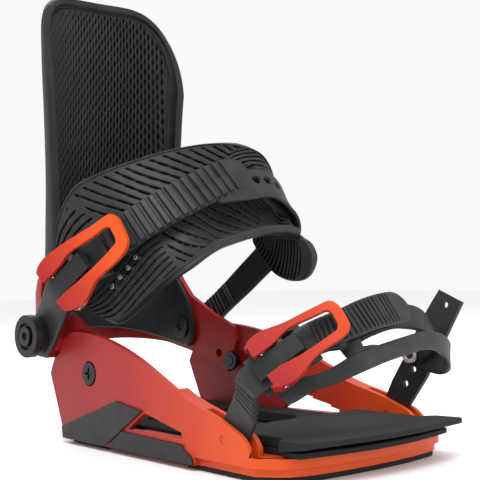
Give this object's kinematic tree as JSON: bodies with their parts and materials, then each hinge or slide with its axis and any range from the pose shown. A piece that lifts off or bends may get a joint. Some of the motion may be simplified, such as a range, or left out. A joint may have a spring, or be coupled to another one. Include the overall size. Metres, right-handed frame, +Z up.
{
  "type": "snowboard strap binding",
  "caption": "Snowboard strap binding with disc-mounted base, heel loop, folding highback, padded ankle strap and toe cap strap, each closed by a ratchet ladder and lever buckle.",
  "frame": {"origin": "centre of the mounting disc's bolt pattern, on the plane of the board", "axes": "+X points to the toe, +Y to the inner side away from the buckles, +Z up from the board"},
  "size_m": [0.2698, 0.1463, 0.2645],
  "materials": {
    "shell_red": "satin moulded nylon, red at the heel to orange at the toe",
    "trim_dark": "satin",
    "eva_black": "fine grained foam",
    "strap_grey": "satin moulded urethane",
    "lever_red": "semi gloss paint",
    "buckle_dark": "satin",
    "steel": "zinc plated",
    "steel_black": "black oxide",
    "highback_black": "satin"
  },
  "bodies": {
    "disc": {"mounting_disc": "trim_dark"},
    "base": {"baseplate": "shell_red", "front_base_bushing": "eva_black", "rear_base_bushing": "eva_black", "footbed_heel_pad": "eva_black", "heel_corner_cover_outer": "trim_dark", "heel_corner_cover_inner": "trim_dark", "side_strip_outer": "trim_dark", "side_strip_inner": "trim_dark", "heelcup": "shell_red", "heelcup_screws": "steel_black", "heelcup_nuts": "steel_black", "strap_discs": "trim_dark", "pivot_screws": "steel_black", "pivot_nuts": "steel_black", "toe_anchor_pins": "steel"},
    "toe_ramp": {"toe_ramp_plate": "trim_dark", "toe_ramp_pad": "eva_black"},
    "highback": {"highback": "highback_black", "highback_pad": "eva_black", "lean_track": "trim_dark", "lean_track_screws": "steel"},
    "lean_block": {"lean_block": "trim_dark", "lean_lever_pin": "steel"},
    "lean_lever": {"lean_lever": "trim_dark"},
    "ankle_strap": {"ankle_ladder": "strap_grey", "ankle_buckle_base": "buckle_dark", "ankle_lever_pin": "steel", "ankle_pawl_pin": "steel", "ankle_pawl_spring": "steel", "ankle_pad": "strap_grey", "ankle_pad_studs": "steel", "ankle_connector": "strap_grey", "ankle_connector_screw": "steel_black"},
    "ankle_lever": {"ankle_buckle_lever": "lever_red"},
    "ankle_pawl": {"ankle_pawl": "buckle_dark"},
    "toe_strap": {"toe_ladder": "strap_grey", "toe_buckle_base": "buckle_dark", "toe_lever_pin": "steel", "toe_pawl_pin": "steel", "toe_pawl_spring": "steel", "toe_cap": "strap_grey", "toe_upper_band": "strap_grey", "toe_adjuster": "strap_grey", "toe_adjuster_screw": "steel_black", "toe_adjuster_nut": "steel"},
    "toe_lever": {"toe_buckle_lever": "lever_red"},
    "toe_pawl": {"toe_pawl": "buckle_dark"}
  },
  "joints": [
    {"name": "stance_angle", "type": "hinge", "parent": "disc", "child": "base", "pos_m": [0, 0, 0.005], "axis": [0, 0, 1], "range_deg": [-45, 45]},
    {"name": "toe_ramp_slide", "type": "slide", "parent": "base", "child": "toe_ramp", "axis": [1, 0, 0], "range_m": [-0.007, 0.006]},
    {"name": "highback_fold", "type": "hinge", "parent": "base", "child": "highback", "pos_m": [-0.087, 0, 0.0595], "axis": [0, 1, 0], "range_deg": [0, 18]},
    {"name": "lean_block_slide", "type": "slide", "parent": "highback", "child": "lean_block", "axis": [0, 0, 1], "range_m": [0, 0.03]},
    {"name": "lean_lever_flip", "type": "hinge", "parent": "lean_block", "child": "lean_lever", "pos_m": [-0.1358, 0, 0.0924], "axis": [0, -1, 0], "range_deg": [0, 95]},
    {"name": "ankle_strap_tilt", "type": "hinge", "parent": "base", "child": "ankle_strap", "pos_m": [-0.087, 0, 0.0595], "axis": [0, 1, 0], "range_deg": [-12, 3]},
    {"name": "ankle_lever_lift", "type": "hinge", "parent": "ankle_strap", "child": "ankle_lever", "pos_m": [-0.05417, -0.06563, 0.08747], "axis": [0.6156, 0.2284, -0.7542], "range_deg": [0, 60]},
    {"name": "ankle_pawl_click", "type": "hinge", "parent": "ankle_strap", "child": "ankle_pawl", "pos_m": [-0.04481, -0.06064, 0.09662], "axis": [0.6156, 0.2284, -0.7542], "range_deg": [0, 3], "stiffness_Nm_per_rad": 0.02, "springref_deg": -17.19},
    {"name": "toe_strap_tilt", "type": "hinge", "parent": "base", "child": "toe_strap", "pos_m": [0.072, 0, 0.017], "axis": [0, 1, 0], "range_deg": [-20, 8]},
    {"name": "toe_lever_lift", "type": "hinge", "parent": "toe_strap", "child": "toe_lever", "pos_m": [0.10497, -0.06104, 0.05365], "axis": [0.6202, 0.1895, -0.7612], "range_deg": [0, 60]},
    {"name": "toe_pawl_click", "type": "hinge", "parent": "toe_strap", "child": "toe_pawl", "pos_m": [0.1086, -0.0548, 0.05816], "axis": [0.6202, 0.1895, -0.7612], "range_deg": [0, 3], "stiffness_Nm_per_rad": 0.015, "springref_deg": -17.19}
  ]
}
